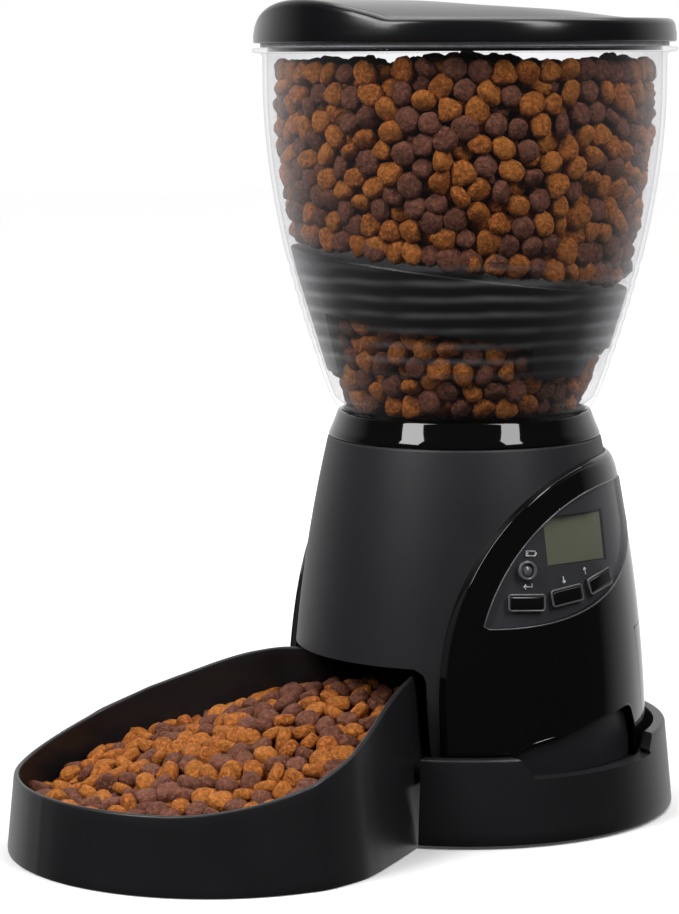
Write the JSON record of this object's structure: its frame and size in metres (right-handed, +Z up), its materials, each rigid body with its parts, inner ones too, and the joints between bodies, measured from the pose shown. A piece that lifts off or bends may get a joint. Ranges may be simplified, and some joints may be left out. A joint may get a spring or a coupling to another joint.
{
  "type": "automatic pet feeder",
  "caption": "Programmable dry-food dispenser: clear round hopper on a tapered tower with a control panel, round base and pull-out bowl.",
  "frame": {"origin": "centre of the footprint, on the surface the feeder stands on", "axes": "+Z up the tower, -Y towards the bowl, +X towards the control panel"},
  "size_m": [0.216, 0.3656, 0.4125],
  "materials": {
    "matte_black": "fine matte moulded plastic",
    "satin_black": "satin moulded plastic",
    "lid_black": "smooth satin moulded plastic",
    "gloss_black": "polished black plastic",
    "clear_plastic": "clear polished plastic",
    "smoked_window": "smoked clear plastic",
    "panel_grey": "dark printed panel",
    "lcd_glass": "unlit reflective display",
    "light_pipe": "clear light pipe",
    "circuit_board": "green solder mask",
    "steel": "plain steel",
    "rubber": "soft black rubber",
    "nylon": "natural engineering plastic",
    "cell_wrap": "printed shrink wrap",
    "printed_white": "white pad-printed symbols",
    "amber_kibble": "baked dry food, amber pieces",
    "brown_kibble": "baked dry food, brown pieces"
  },
  "bodies": {
    "base": {"base_platform": "satin_black", "rubber_foot_1": "rubber", "rubber_foot_2": "rubber", "rubber_foot_3": "rubber", "rubber_foot_4": "rubber", "base_screw_1": "steel", "base_screw_2": "steel", "base_screw_3": "steel", "base_screw_4": "steel", "tower_shell": "matte_black", "side_cover": "gloss_black", "control_window": "smoked_window", "control_bezel": "panel_grey", "lcd_display": "lcd_glass", "lamp_ring": "gloss_black", "indicator_lamp": "light_pipe", "circuit_board": "circuit_board", "enter_switch": "nylon", "down_switch": "nylon", "up_switch": "nylon", "collar_ring": "gloss_black", "metering_drum": "nylon", "chute": "nylon", "gear_case": "nylon", "motor": "steel", "battery_box": "matte_black", "battery_cell_1": "cell_wrap", "battery_cell_2": "cell_wrap", "battery_cell_3": "cell_wrap", "battery_spring_1": "steel", "battery_spring_2": "steel", "battery_spring_3": "steel", "battery_contact": "steel"},
    "bowl": {"bowl": "satin_black"},
    "battery_door": {"battery_door": "gloss_black"},
    "hopper": {"hopper": "clear_plastic", "food_baffle": "matte_black"},
    "lid": {"lid": "lid_black", "lid_seal": "rubber"},
    "impeller": {"impeller": "rubber", "drive_shaft": "steel", "drive_gear": "nylon"},
    "pinion": {"motor_pinion": "steel", "motor_shaft": "steel"},
    "enter_button": {"enter_button": "gloss_black"},
    "down_button": {"down_button": "gloss_black"},
    "up_button": {"up_button": "gloss_black"}
  },
  "joints": [
    {"name": "bowl_slide", "type": "slide", "parent": "base", "child": "bowl", "axis": [0, -1, 0], "range_m": [0, 0.16]},
    {"name": "hopper_lift", "type": "slide", "parent": "base", "child": "hopper", "axis": [0, 0, 1], "range_m": [0, 0.06]},
    {"name": "lid_lift", "type": "slide", "parent": "hopper", "child": "lid", "axis": [0, 0, 1], "range_m": [0, 0.06]},
    {"name": "battery_door_slide", "type": "slide", "parent": "base", "child": "battery_door", "axis": [0, 1, 0], "range_m": [0, 0.04]},
    {"name": "impeller_spin", "type": "hinge", "parent": "base", "child": "impeller", "pos_m": [0, 0.07475, 0.16], "axis": [0, 0, 1], "continuous": true},
    {"name": "pinion_spin", "type": "hinge", "parent": "base", "child": "pinion", "pos_m": [0, 0.0947, 0.1467], "axis": [0, 0, 1], "continuous": true},
    {"name": "enter_key_press", "type": "slide", "parent": "base", "child": "enter_button", "axis": [-0.9406, 0.2966, -0.165], "range_m": [0, 0.001], "stiffness_N_per_m": 500, "springref_m": -0.001},
    {"name": "down_key_press", "type": "slide", "parent": "base", "child": "down_button", "axis": [-0.9853, 0.043, -0.165], "range_m": [0, 0.001], "stiffness_N_per_m": 500, "springref_m": -0.001},
    {"name": "up_key_press", "type": "slide", "parent": "base", "child": "up_button", "axis": [-0.961, -0.2219, -0.165], "range_m": [0, 0.001], "stiffness_N_per_m": 500, "springref_m": -0.001}
  ],
  "couplings": [
    {"joint": "pinion_spin", "follows": "impeller_spin", "ratio": -2.6667}
  ]
}
